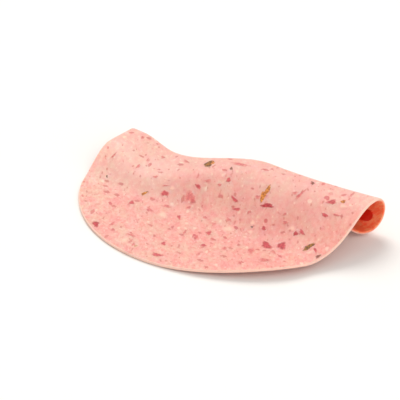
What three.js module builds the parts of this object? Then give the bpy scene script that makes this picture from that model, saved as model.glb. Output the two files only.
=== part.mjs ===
// One round slice of a cooked head cheese sausage, 120 mm across and 1.1 mm thick.
// It lies flat on its near side, rises into a ramp, and its far side is curled over and
// under itself into an open roll. The roll is pressed flat near its left end.
//
// The slice is first a flat sheet: u runs along the roll, v from the near edge to the far
// edge, both in millimetres from the middle of the round. Every point of it is then bent
// up into the roll by bentPoint(). The result stands on z = 0, with the origin at the
// middle of its footprint. Millimetres, +Z up.

import * as THREE from 'three';

// ---- the flat sheet ----
const SLICE_RADIUS = 60;
const SLICE_THICKNESS = 1.1;
const FAR_REACH = 43; // from the middle to the far edge, which ends inside the roll
const NEAR_ROUNDNESS = 2; // exponent of the near outline: a true circle
const FAR_ROUNDNESS = 6; // exponent of the far outline: fuller at the shoulders

// ---- the roll, seen along u ----
const ROLL_HALF_HEIGHT = 5.7; // of the sheet's middle layer
const ROLL_FLARE = 2.3; // how much the half height grows to the right end
const ROLL_END_LIFT = 1.8; // clearance under the flared right end
const ROLL_FAR_SIDE = 16.2; // y of the roll's far side
const ROLL_SKEW = -1.6; // how far that side turns over one slice radius
const ROLL_FLAT_TOP = 0.4; // half length of the straight run over the top
const INNER_TURN_SHARE = 0.72; // radius of the inner bend against the outer one
const RAMP_LENGTH = 35; // from the flat to the top of the roll

// ---- the place where the roll is pressed flat ----
const PRESSED_AT = -36.4; // u
const PRESSED_REACH_LEFT = 18.8;
const PRESSED_REACH_RIGHT = 43.3;
const PRESSED_LEFT_END = 0.71; // how much of the pressing is left past the left reach
const PRESSED_HALF_HEIGHT = 1.9;
const PRESSED_FLAT_TOP = 9;
const PRESSED_SHIFT = -8.9; // the far side draws in where it is pressed
const PRESSED_INNER_SHARE = 0.5;
const PRESSED_RAMP_LENGTH = 14;

// ---- the lifted corner of the flap, at the front right ----
const CORNER_LIFT = 2.9;
const CORNER_DIRECTION = THREE.MathUtils.degToRad(-35);
const CORNER_SPREAD = THREE.MathUtils.degToRad(50);
const CORNER_START_RADIUS = 30;
const CORNER_FADE = 20; // it fades out over this distance towards the roll

// ---- the mesh ----
const COLUMNS = 30; // across u
const ROWS = { flat: 12, ramp: 10, top: 3, farTurn: 12, back: 3, nearTurn: 10, tail: 3 };
const LEAST_STRETCH = 0.5; // of a row group that the outline would otherwise cut to nothing
const ROW_FITS = 4; // rounds in which a row finds its place on a column
const NORMAL_STEP = 0.05; // distance between the samples that give the sheet's normal
const RISE_TAKES_UP = 0.6; // extra sheet in a ramp: this times height squared over length

const FLESH_COLOR = 0xf3b4a6;
const FLESH_ROUGHNESS = 0.42;

const { clamp, lerp, smoothstep } = THREE.MathUtils;

/** The outline's exponent and the reach of a column, where s is the column's share of the
    radius, from -1 to 1. The outline is |u/a|^n + |v/b|^n = 1, and its near half a circle.
    A square grid is stretched over it, so a column ends where the outline lets it. */
function columnReach(s, far) {
  const n = far ? FAR_ROUNDNESS : NEAR_ROUNDNESS;
  const reach = far ? FAR_REACH : SLICE_RADIUS;
  return { n, reach: reach * (1 - Math.abs(s) ** n / 2) ** (1 / n) };
}

/** The u of column s where it passes v. */
function columnU(s, v) {
  const { n, reach } = columnReach(s, v > 0);
  return SLICE_RADIUS * s * (1 - Math.abs(v / reach) ** n / 2) ** (1 / n);
}

/** How hard the roll is pressed at u, from 0 to 1. */
function pressedShare(u) {
  const offset = u - PRESSED_AT;
  if (offset > 0) return 1 - smoothstep(offset, 0, PRESSED_REACH_RIGHT);
  return lerp(1, PRESSED_LEFT_END, smoothstep(-offset, 0, PRESSED_REACH_LEFT));
}

/** The roll's own sizes at u: its top, the two bends, and where the ramp starts. */
function rollSection(u) {
  const pressed = pressedShare(u);
  const outward = clamp(u / SLICE_RADIUS, 0, 1) ** 2;
  const open = ROLL_HALF_HEIGHT + ROLL_FLARE * outward;
  const halfHeight = lerp(open, PRESSED_HALF_HEIGHT, pressed);
  const outerBend = halfHeight - (ROLL_END_LIFT * outward) / 2;
  const innerBend = outerBend * lerp(INNER_TURN_SHARE, PRESSED_INNER_SHARE, pressed);
  const flatTop = lerp(ROLL_FLAT_TOP, PRESSED_FLAT_TOP, pressed);
  const rampLength = lerp(RAMP_LENGTH, PRESSED_RAMP_LENGTH, pressed);
  const farSide = ROLL_FAR_SIDE + PRESSED_SHIFT * pressed + (ROLL_SKEW * u) / SLICE_RADIUS;
  const topStart = farSide - outerBend - 2 * flatTop;
  const takenUp = (RISE_TAKES_UP * (2 * halfHeight) ** 2) / rampLength;
  return { halfHeight, outerBend, innerBend, flatTop, rampLength, topStart, takenUp };
}

/** How far the front right corner of the flap stands off at (u, v). */
function cornerLift(u, v) {
  const turn = Math.abs(Math.atan2(v, u) - CORNER_DIRECTION);
  const window = 1 - smoothstep(turn, 0, CORNER_SPREAD);
  const outward = smoothstep(Math.hypot(u, v), CORNER_START_RADIUS, SLICE_RADIUS);
  return CORNER_LIFT * window * outward * smoothstep(-v, 0, CORNER_FADE);
}

/** The middle layer of the bent sheet at (u, v). Along v it lies flat, climbs the ramp,
    runs over the top, turns down the far side, runs back along the bottom, turns up
    inside, and ends in a short run under the top. */
function bentPoint(u, v) {
  const roll = rollSection(u);
  const { halfHeight, outerBend, innerBend, flatTop, rampLength, topStart, takenUp } = roll;
  const rampStart = topStart + takenUp - rampLength;
  const climb = clamp((v - rampStart) / rampLength, 0, 1);
  const drawnIn = takenUp * smoothstep(v, -SLICE_RADIUS, rampStart);
  const before = v < rampStart ? v - drawnIn : topStart - rampLength * (1 - climb);

  const beyond = Math.max(v - topStart - takenUp, 0);
  const overTop = clamp(beyond, 0, 2 * flatTop);
  const farTurn = clamp((beyond - 2 * flatTop) / outerBend, 0, Math.PI);
  const afterFar = beyond - 2 * flatTop - Math.PI * outerBend;
  const back = clamp(afterFar, 0, 2 * flatTop);
  const nearTurn = clamp((afterFar - 2 * flatTop) / innerBend, 0, Math.PI);
  const tail = Math.max(afterFar - 2 * flatTop - Math.PI * innerBend, 0);

  const y = before + overTop + outerBend * Math.sin(farTurn)
    - back - innerBend * Math.sin(nearTurn) + tail;
  const z = SLICE_THICKNESS / 2 + 2 * halfHeight * smoothstep(climb, 0, 1)
    - outerBend * (1 - Math.cos(farTurn)) + innerBend * (1 - Math.cos(nearTurn));
  return new THREE.Vector3(u, y, z + cornerLift(u, v));
}

/** The bent sheet's normal at (u, v), upward on the flap and outward round the roll. */
function bentNormal(u, v) {
  const alongU = bentPoint(u + NORMAL_STEP, v).sub(bentPoint(u - NORMAL_STEP, v));
  const alongV = bentPoint(u, v + NORMAL_STEP).sub(bentPoint(u, v - NORMAL_STEP));
  return alongU.cross(alongV).normalize();
}

/** Where each row group begins and ends along v on column s, with the roll's sizes at u. */
function rowBreaks(s, u) {
  const { outerBend, innerBend, flatTop, rampLength, topStart, takenUp } = rollSection(u);
  const nearEdge = -columnReach(s, false).reach;
  const farEdge = columnReach(s, true).reach;
  const rampEnd = topStart + takenUp;
  const farTurnEnd = rampEnd + 2 * flatTop + Math.PI * outerBend;
  const nearTurnEnd = farTurnEnd + 2 * flatTop + Math.PI * innerBend;
  const inner = [
    rampEnd - rampLength, rampEnd, rampEnd + 2 * flatTop,
    farTurnEnd, farTurnEnd + 2 * flatTop, nearTurnEnd,
  ];
  const kept = inner.map((v, index) => {
    const groupsLeft = inner.length - index;
    return Math.min(v, farEdge - groupsLeft * LEAST_STRETCH);
  });
  return [nearEdge, ...kept, farEdge];
}

/** Every row as the group it is in and its share of the way through that group. */
function rowStations() {
  const stations = Object.values(ROWS).flatMap((count, group) => (
    Array.from({ length: count }, (_, row) => ({ group, share: row / count }))
  ));
  const lastGroup = Object.keys(ROWS).length - 1;
  return [...stations, { group: lastGroup, share: 1 }];
}

/** The flat sheet's point on column s at a row. The rows follow the roll's bends, whose
    sizes change along u, so each row is fitted to its column in a few rounds. */
function flatPoint(s, { group, share }) {
  let u = SLICE_RADIUS * s;
  let v = 0;
  for (let round = 0; round < ROW_FITS; round += 1) {
    const breaks = rowBreaks(s, u);
    v = lerp(breaks[group], breaks[group + 1], share);
    u = columnU(s, v);
  }
  return { u, v };
}

/** The slice as one closed body: an upper and a lower skin half a thickness off the
    middle layer, and the cut edge that joins them. */
function sliceGeometry() {
  const rows = rowStations();
  const perRow = COLUMNS + 1;
  const skinSize = rows.length * perRow;
  const positions = new Float32Array(skinSize * 2 * 3);
  rows.forEach((station, row) => {
    for (let column = 0; column < perRow; column += 1) {
      const s = (2 * column) / COLUMNS - 1;
      const { u, v } = flatPoint(s, station);
      const middle = bentPoint(u, v);
      const offset = bentNormal(u, v).multiplyScalar(SLICE_THICKNESS / 2);
      const index = row * perRow + column;
      middle.clone().add(offset).toArray(positions, index * 3);
      middle.clone().sub(offset).toArray(positions, (index + skinSize) * 3);
    }
  });

  const triangles = [];
  const quad = (a, b, c, d) => triangles.push(a, b, c, a, c, d);
  for (let row = 0; row < rows.length - 1; row += 1) {
    for (let column = 0; column < COLUMNS; column += 1) {
      const a = row * perRow + column;
      quad(a, a + 1, a + 1 + perRow, a + perRow);
      quad(a + skinSize, a + perRow + skinSize, a + 1 + perRow + skinSize, a + 1 + skinSize);
    }
  }
  const edge = (from, to) => quad(from, from + skinSize, to + skinSize, to);
  const lastRow = (rows.length - 1) * perRow;
  for (let column = 0; column < COLUMNS; column += 1) {
    edge(column, column + 1);
    edge(lastRow + column + 1, lastRow + column);
  }
  for (let row = 0; row < rows.length - 1; row += 1) {
    edge((row + 1) * perRow, row * perRow);
    edge(row * perRow + COLUMNS, (row + 1) * perRow + COLUMNS);
  }

  const geometry = new THREE.BufferGeometry();
  geometry.setAttribute('position', new THREE.BufferAttribute(positions, 3));
  geometry.setIndex(triangles);
  return geometry;
}

/** Stands the geometry on z = 0 with the origin at the middle of its footprint. */
function standOnFloor(geometry) {
  geometry.computeBoundingBox();
  const { min, max } = geometry.boundingBox;
  geometry.translate(-(min.x + max.x) / 2, -(min.y + max.y) / 2, -min.z);
  geometry.computeVertexNormals();
  return geometry;
}

const flesh = new THREE.MeshStandardMaterial({
  name: 'cooked_flesh',
  color: FLESH_COLOR,
  roughness: FLESH_ROUGHNESS,
  metalness: 0,
});

const slice = new THREE.Mesh(standOnFloor(sliceGeometry()), flesh);
slice.name = 'slice';

const headCheeseSlice = new THREE.Group();
headCheeseSlice.name = 'head_cheese_slice';
headCheeseSlice.add(slice);

export default headCheeseSlice;
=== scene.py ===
"""A slice of head cheese with its far side curled under into an open roll.

The slice is one thin round of cooked sausage meat. Its fine form is worked out here on a
dense grid, by the same rules and sizes as its solid, with a rounded cut edge, a soft
ripple and an uneven skin. Red meat, herb, pepper, spice and fat bits lie in its surface.

Sizes are millimetres until a mesh is written, which turns them into metres.
"""

import logging
import math
from dataclasses import dataclass, field
from enum import Enum
from typing import Any, Callable, Iterable, Mapping, Optional, Sequence, Union

import bmesh
import bpy
import numpy as np
from mathutils import Matrix, Vector


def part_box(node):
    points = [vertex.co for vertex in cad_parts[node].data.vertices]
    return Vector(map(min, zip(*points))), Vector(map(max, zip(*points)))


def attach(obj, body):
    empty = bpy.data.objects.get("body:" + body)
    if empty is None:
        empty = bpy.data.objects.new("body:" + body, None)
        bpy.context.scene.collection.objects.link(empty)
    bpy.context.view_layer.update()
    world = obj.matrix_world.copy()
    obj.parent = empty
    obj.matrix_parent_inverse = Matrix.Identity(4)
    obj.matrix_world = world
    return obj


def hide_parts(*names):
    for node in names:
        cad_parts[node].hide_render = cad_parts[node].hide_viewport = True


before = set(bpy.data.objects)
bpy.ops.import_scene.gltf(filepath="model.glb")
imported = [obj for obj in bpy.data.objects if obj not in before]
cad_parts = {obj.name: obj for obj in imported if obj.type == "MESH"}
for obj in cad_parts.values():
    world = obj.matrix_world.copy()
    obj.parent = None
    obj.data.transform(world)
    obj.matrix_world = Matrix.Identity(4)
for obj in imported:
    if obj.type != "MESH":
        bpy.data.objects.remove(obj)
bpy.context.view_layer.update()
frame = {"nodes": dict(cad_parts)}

log = logging.getLogger("head_cheese")

MM = 0.001
BODY = "root"
NODE = "slice"
SHEET_PLACE = "sheet_mm"  # the attribute that holds a point's place in the flat sheet
RIM_DISTANCE = "rim_mm"  # the attribute that holds how far a point is from the cut edge
PAINTED_ROLL_LIGHT = "painted_roll_light"  # the attribute that holds the painted glow and painted shade inside the roll, from 0 outside to 1 deep in it
BIT_SHARE = "bit_share"  # the attribute that runs from 0 mid-bit to 1 at its outline
RELIEF_DEPTH = 0.12  # of the fine relief that the shaders add
RELIEF_STRENGTH = 0.6
FIRST_SEED = 40  # of the random draw for the first kind of bits

Colour = tuple[float, float, float, float]
Pixel = tuple[float, float]
Span = tuple[float, float]
Grid = np.ndarray
Piece = bpy.types.Object


def smooth(share: Grid) -> Grid:
    """Smoothstep: 3 times the square less 2 times the cube, held between 0 and 1."""
    share = np.clip(share, 0.0, 1.0)
    return share * share * (3.0 - 2.0 * share)


def lerp(first: Any, second: Any, share: Any) -> Any:
    """The value a share of the way from the first to the second."""
    return first + (second - first) * share


def paint(red: int, green: int, blue: int) -> Colour:
    """A colour as seen on a screen, as the linear light that Blender takes.

    Args:
        red: The red of it, from 0 to 255.
        green: The green of it.
        blue: The blue of it.

    Returns:
        The colour, opaque.
    """
    seen = np.array([red, green, blue]) / 255.0
    light = np.where(seen <= 0.04045, seen / 12.92, ((seen + 0.055) / 1.055) ** 2.4)
    return (float(light[0]), float(light[1]), float(light[2]), 1.0)


def soft_noise(x: Grid, y: Grid, seed: int) -> Grid:
    """Soft noise from 0 to 1 over a plane.

    Random heights stand on a square lattice one unit apart. Between them, the height is
    a smoothstep blend along x of two smoothstep blends along y.

    Args:
        x: Places along the plane, in lattice units.
        y: Places across it.
        seed: Which set of random heights.

    Returns:
        The height at every place.
    """
    side = 64
    heights = np.random.default_rng(seed).random((side, side))
    column = np.floor(x).astype(int)
    row = np.floor(y).astype(int)
    across = smooth(x - column)
    along = smooth(y - row)

    def post(i: int, j: int) -> Grid:
        """The height of the lattice post i columns and j rows on."""
        return heights[(column + i) % side, (row + j) % side]

    near = lerp(post(0, 0), post(1, 0), across)
    far = lerp(post(0, 1), post(1, 1), across)
    return lerp(near, far, along)


# --- The form of the slice ---


@dataclass(frozen=True)
class RollSection:
    """The roll's own sizes at each place along it."""

    half_height: Grid
    outer_bend: Grid
    inner_bend: Grid
    flat_top: Grid
    ramp_length: Grid
    top_start: Grid
    taken_up: Grid


@dataclass(frozen=True)
class Pressing:
    """The place where the roll is pressed flat."""

    at: float = -36.4
    reach_left: float = 18.8
    reach_right: float = 43.3
    left_end: float = 0.71
    half_height: float = 1.9
    flat_top: float = 9.0
    shift: float = -8.9
    inner_share: float = 0.5
    ramp_length: float = 14.0

    def share(self, u: Grid) -> Grid:
        """How hard the roll is pressed: a smoothstep down from 1, on either side of its place.

        Args:
            u: Places along the roll.

        Returns:
            The share, from 0 to 1.
        """
        offset = u - self.at
        right = 1.0 - smooth(offset / self.reach_right)
        left = lerp(1.0, self.left_end, smooth(-offset / self.reach_left))
        return np.where(offset > 0.0, right, left)


@dataclass(frozen=True)
class LiftedCorner:
    """The front right corner of the flap, which stands off a little."""

    lift: float = 2.9
    direction: float = math.radians(-35.0)
    spread: float = math.radians(50.0)
    start_radius: float = 30.0
    fade: float = 20.0

    def height(self, u: Grid, v: Grid, radius: float) -> Grid:
        """How far the flap stands off: a window in angle, times outward and forward ramps.

        Args:
            u: Places along the roll.
            v: Places across it.
            radius: The slice's radius.

        Returns:
            The height at every place.
        """
        turn = np.abs(np.arctan2(v, u) - self.direction)
        window = 1.0 - smooth(turn / self.spread)
        reach = radius - self.start_radius
        outward = smooth((np.hypot(u, v) - self.start_radius) / reach)
        return self.lift * window * outward * smooth(-v / self.fade)


@dataclass(frozen=True)
class SliceForm:
    """The bent sheet: u runs along the roll, v from the near edge to the far edge.

    The flat outline is a half circle on the near side and a fuller curve on the far side.
    Along v the sheet lies flat, climbs a ramp, runs over the top, turns down the far side,
    runs back along the bottom, turns up inside, and ends in a short run under the top.
    """

    radius: float = 60.0
    thickness: float = 1.1
    far_reach: float = 43.0
    near_roundness: float = 2.0
    far_roundness: float = 6.0
    half_height: float = 5.7
    flare: float = 2.3
    end_lift: float = 1.8
    far_side: float = 16.2
    skew: float = -1.6
    flat_top: float = 0.4
    inner_turn_share: float = 0.72
    ramp_length: float = 35.0
    rise_takes_up: float = 0.6
    pressing: Pressing = Pressing()
    corner: LiftedCorner = LiftedCorner()
    least_stretch: float = 0.5
    row_fits: int = 4
    normal_step: float = 0.05

    def outline(self, far: Grid) -> tuple[Grid, Grid]:
        """The outline's exponent n and its reach, on the far side or on the near side."""
        n = np.where(far, self.far_roundness, self.near_roundness)
        return n, np.where(far, self.far_reach, self.radius)

    def column_reach(self, s: Grid, far: Grid) -> Grid:
        """How far a column reaches across: the reach times (1 - |s|^n / 2)^(1/n).

        Args:
            s: The columns, from -1 to 1.
            far: Whether the far side is meant.

        Returns:
            The column's reach.
        """
        n, reach = self.outline(far)
        return reach * (1.0 - np.abs(s) ** n / 2.0) ** (1.0 / n)

    def column_u(self, s: Grid, v: Grid) -> Grid:
        """Where a column runs: the radius times s times (1 - |v / reach|^n / 2)^(1/n).

        Args:
            s: The columns, from -1 to 1.
            v: Where each one passes across the sheet.

        Returns:
            Its place along the roll.
        """
        n, _ = self.outline(v > 0.0)
        reach = self.column_reach(s, v > 0.0)
        inside = np.clip(1.0 - np.abs(v / reach) ** n / 2.0, 0.0, 1.0)
        return self.radius * s * inside ** (1.0 / n)

    def section(self, u: Grid) -> RollSection:
        """The roll's sizes: the open roll's, blended into the pressed roll's.

        Args:
            u: Places along the roll.

        Returns:
            The sizes at every place.
        """
        pressed = self.pressing.share(u)
        outward = np.clip(u / self.radius, 0.0, 1.0) ** 2
        half_height = lerp(
            self.half_height + self.flare * outward, self.pressing.half_height, pressed
        )
        outer_bend = half_height - self.end_lift * outward / 2.0
        inner_share = lerp(self.inner_turn_share, self.pressing.inner_share, pressed)
        flat_top = lerp(self.flat_top, self.pressing.flat_top, pressed)
        ramp_length = lerp(self.ramp_length, self.pressing.ramp_length, pressed)
        far_side = self.far_side + self.pressing.shift * pressed
        far_side = far_side + self.skew * u / self.radius
        return RollSection(
            half_height=half_height,
            outer_bend=outer_bend,
            inner_bend=outer_bend * inner_share,
            flat_top=flat_top,
            ramp_length=ramp_length,
            top_start=far_side - outer_bend - 2.0 * flat_top,
            taken_up=self.rise_takes_up * (2.0 * half_height) ** 2 / ramp_length,
        )

    def middle(self, u: Grid, v: Grid) -> Grid:
        """The middle layer of the bent sheet, before it is placed.

        Each stretch of the path adds its own run to y and its own rise to z. The ramp's
        rise is a smoothstep, and each turn is a half circle.

        Args:
            u: Places along the roll.
            v: Places across it.

        Returns:
            Points, one row of x, y and z for each place.
        """
        roll = self.section(u)
        ramp_start = roll.top_start + roll.taken_up - roll.ramp_length
        climb = np.clip((v - ramp_start) / roll.ramp_length, 0.0, 1.0)
        drawn_in = roll.taken_up * smooth((v + self.radius) / (ramp_start + self.radius))
        on_ramp = roll.top_start - roll.ramp_length * (1.0 - climb)
        before = np.where(v < ramp_start, v - drawn_in, on_ramp)

        run = 2.0 * roll.flat_top
        beyond = np.maximum(v - roll.top_start - roll.taken_up, 0.0)
        over_top = np.clip(beyond, 0.0, run)
        far_turn = np.clip((beyond - run) / roll.outer_bend, 0.0, math.pi)
        after_far = beyond - run - math.pi * roll.outer_bend
        back = np.clip(after_far, 0.0, run)
        near_turn = np.clip((after_far - run) / roll.inner_bend, 0.0, math.pi)
        tail = np.maximum(after_far - run - math.pi * roll.inner_bend, 0.0)

        y = before + over_top + roll.outer_bend * np.sin(far_turn)
        y = y - back - roll.inner_bend * np.sin(near_turn) + tail
        z = self.thickness / 2.0 + 2.0 * roll.half_height * smooth(climb)
        z = z - roll.outer_bend * (1.0 - np.cos(far_turn))
        z = z + roll.inner_bend * (1.0 - np.cos(near_turn))
        z = z + self.corner.height(u, v, self.radius)
        return np.stack([u, y, z], axis=-1)

    def normal(self, u: Grid, v: Grid) -> Grid:
        """The sheet's normal, from the cross product of two short steps along it.

        Args:
            u: Places along the roll.
            v: Places across it.

        Returns:
            A vector of length 1 for each place.
        """
        step = self.normal_step
        along_u = self.middle(u + step, v) - self.middle(u - step, v)
        along_v = self.middle(u, v + step) - self.middle(u, v - step)
        across = np.cross(along_u, along_v)
        return across / np.linalg.norm(across, axis=-1, keepdims=True)

    def row_breaks(self, s: Grid, u: Grid) -> Grid:
        """Where each stretch of the path begins and ends across the roll.

        Args:
            s: The columns, from -1 to 1.
            u: Their places along the roll.

        Returns:
            The breaks, stacked from the near edge to the far edge.
        """
        roll = self.section(u)
        near_edge = -self.column_reach(s, np.zeros(s.shape, bool))
        far_edge = self.column_reach(s, np.ones(s.shape, bool))
        ramp_end = roll.top_start + roll.taken_up
        run = 2.0 * roll.flat_top
        far_turn_end = ramp_end + run + math.pi * roll.outer_bend
        near_turn_end = far_turn_end + run + math.pi * roll.inner_bend
        inner = [
            ramp_end - roll.ramp_length,
            ramp_end,
            ramp_end + run,
            far_turn_end,
            far_turn_end + run,
            near_turn_end,
        ]
        stretches_left = range(len(inner), 0, -1)
        kept = [
            np.minimum(v, far_edge - left * self.least_stretch)
            for v, left in zip(inner, stretches_left)
        ]
        return np.stack([near_edge, *kept, far_edge])


@dataclass(frozen=True)
class SoftHandling:
    """How the slice departs from the plain form: ripple, wavy outline, uneven thickness."""

    ripple: float = 0.16
    ripple_length: float = 17.0
    ripple_seed: int = 11
    outline_waver: float = 0.35
    outline_waves: float = 15.0
    outline_seed: int = 5
    waver_power: float = 8.0
    unevenness: float = 0.07
    uneven_length: float = 1.7
    uneven_seed: int = 23
    lift: float = 0.09  # of the whole, so that nothing proud of the skin is in the ground

    def outline_scale(self, u: Grid, v: Grid, radius: float) -> Grid:
        """How much a point moves outward: noise by its angle, faded to nothing inwards.

        Args:
            u: Places along the roll.
            v: Places across it.
            radius: The slice's radius.

        Returns:
            What to multiply each place by.
        """
        out = np.hypot(u, v)
        ring = self.outline_waves / (2.0 * math.pi) / np.maximum(out, 1.0)
        waver = soft_noise(u * ring, v * ring, self.outline_seed) - 0.5
        outward = (out / radius) ** self.waver_power
        return 1.0 + self.outline_waver / radius * waver * outward

    def rise(self, u: Grid, v: Grid, turned: Grid) -> Grid:
        """The ripple's height, always off the ground, and none where the sheet turns under."""
        broad = soft_noise(u / self.ripple_length, v / self.ripple_length, self.ripple_seed)
        return self.ripple * broad * (1.0 - turned)

    def thickness_share(self, u: Grid, v: Grid) -> Grid:
        """The thickness at a place against the usual one, from fine noise."""
        fine = soft_noise(u / self.uneven_length, v / self.uneven_length, self.uneven_seed)
        return 1.0 + self.unevenness * (fine - 0.5)


@dataclass(frozen=True)
class PlacedForm:
    """The soft form, standing where the solid stands."""

    form: SliceForm
    handling: SoftHandling
    shift: Grid

    def point(self, u: Grid, v: Grid, depth: Grid) -> Grid:
        """A point of the slice: the rippled middle layer, plus depth along its normal.

        Args:
            u: Places along the roll.
            v: Places across it.
            depth: Distance from the middle layer, upward on the flap.

        Returns:
            Points in the part's own frame.
        """
        roll = self.form.section(u)
        turn_start = roll.top_start + roll.taken_up + 2.0 * roll.flat_top
        turned = smooth((v - turn_start) / roll.outer_bend)
        off_middle = depth * self.handling.thickness_share(u, v)
        off_middle = off_middle + self.handling.rise(u, v, turned)
        middle = self.form.middle(u, v)
        return middle + self.form.normal(u, v) * off_middle[..., None] + self.shift


# --- Meshes ---


def put(name: str, data: bpy.types.ID) -> Piece:
    """Puts an object into the scene.

    Args:
        name: Its name.
        data: Its mesh, its camera or its lamp.

    Returns:
        The object.
    """
    added = bpy.data.objects.new(name, data)
    bpy.context.scene.collection.objects.link(added)
    return added


def make_piece(name: str, points: Grid, faces: Iterable[Sequence[int]]) -> Piece:
    """A smooth mesh object at the origin, riding on the part's one body.

    Args:
        name: The piece's name.
        points: Its vertices, in millimetres.
        faces: Its faces, as vertex numbers, turned outwards.

    Returns:
        The new object.
    """
    mesh = bpy.data.meshes.new(name)
    mesh.from_pydata((points * MM).tolist(), [], list(faces))
    mesh.polygons.foreach_set("use_smooth", np.ones(len(mesh.polygons), bool))
    mesh.update()
    piece = put(name, mesh)
    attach(piece, BODY)
    return piece


def store(piece: Piece, name: str, values: Grid) -> None:
    """Keeps one number or one vector for each vertex of a piece, under a name.

    Args:
        piece: The piece.
        name: The attribute's name.
        values: The numbers, or one row for each vector.
    """
    kind, key = ("FLOAT_VECTOR", "vector") if values.ndim == 2 else ("FLOAT", "value")
    attribute = piece.data.attributes.new(name, kind, "POINT")
    attribute.data.foreach_set(key, values.astype(np.float32).ravel())


def weld(piece: Piece) -> None:
    """Joins the points of a piece that lie on each other, as at a pole.

    Args:
        piece: The piece.
    """
    shape = bmesh.new()
    shape.from_mesh(piece.data)
    bmesh.ops.remove_doubles(shape, verts=shape.verts, dist=1e-7)
    shape.to_mesh(piece.data)
    shape.free()


# --- Shader maths ---


def operator(operation: str, flipped: bool = False) -> Callable[["Channel", "Term"], "Channel"]:
    """An operator on channels, which adds one Math node.

    Args:
        operation: What the node works out.
        flipped: Whether the other term comes first.

    Returns:
        The operator, to be a method of the class of channels.
    """

    def apply(channel: "Channel", other: "Term") -> "Channel":
        """What the node works out from the channel and the other term.

        Args:
            channel: The channel.
            other: The other term.

        Returns:
            The node's result.
        """
        first, second = (other, channel) if flipped else (channel, other)
        settings = {"operation": operation}
        return channel.recipe.node("Math", settings, {0: first, 1: second})

    return apply


class Channel:
    """One output of a shader node. Sums on channels add the nodes that work them out."""

    def __init__(self, recipe: "Recipe", socket: bpy.types.NodeSocket) -> None:
        """Keeps the recipe that the node is in, and the node's output."""
        self.recipe = recipe
        self.socket = socket

    __add__ = operator("ADD")
    __radd__ = operator("ADD", flipped=True)
    __sub__ = operator("SUBTRACT")
    __rsub__ = operator("SUBTRACT", flipped=True)
    __mul__ = operator("MULTIPLY")
    __rmul__ = operator("MULTIPLY", flipped=True)
    __lt__ = operator("LESS_THAN")
    highest = operator("MAXIMUM")

    def rising(self, low: "Term", high: "Term") -> "Channel":
        """A smoothstep from 0 at low to 1 at high, or falling where low is the greater."""
        return self.recipe.node(
            "MapRange",
            {"interpolation_type": "SMOOTHSTEP"},
            {"Value": self, "From Min": low, "From Max": high},
        )

    def beside(self, output: Union[int, str]) -> "Channel":
        """Another output of the same node."""
        return Channel(self.recipe, self.socket.node.outputs[output])

    def parts(self) -> tuple["Channel", "Channel"]:
        """The first two numbers of a colour."""
        red = self.recipe.node("SeparateColor", {}, {0: self})
        return red, red.beside(1)


Term = Union[Channel, float, Sequence[float]]


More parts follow.
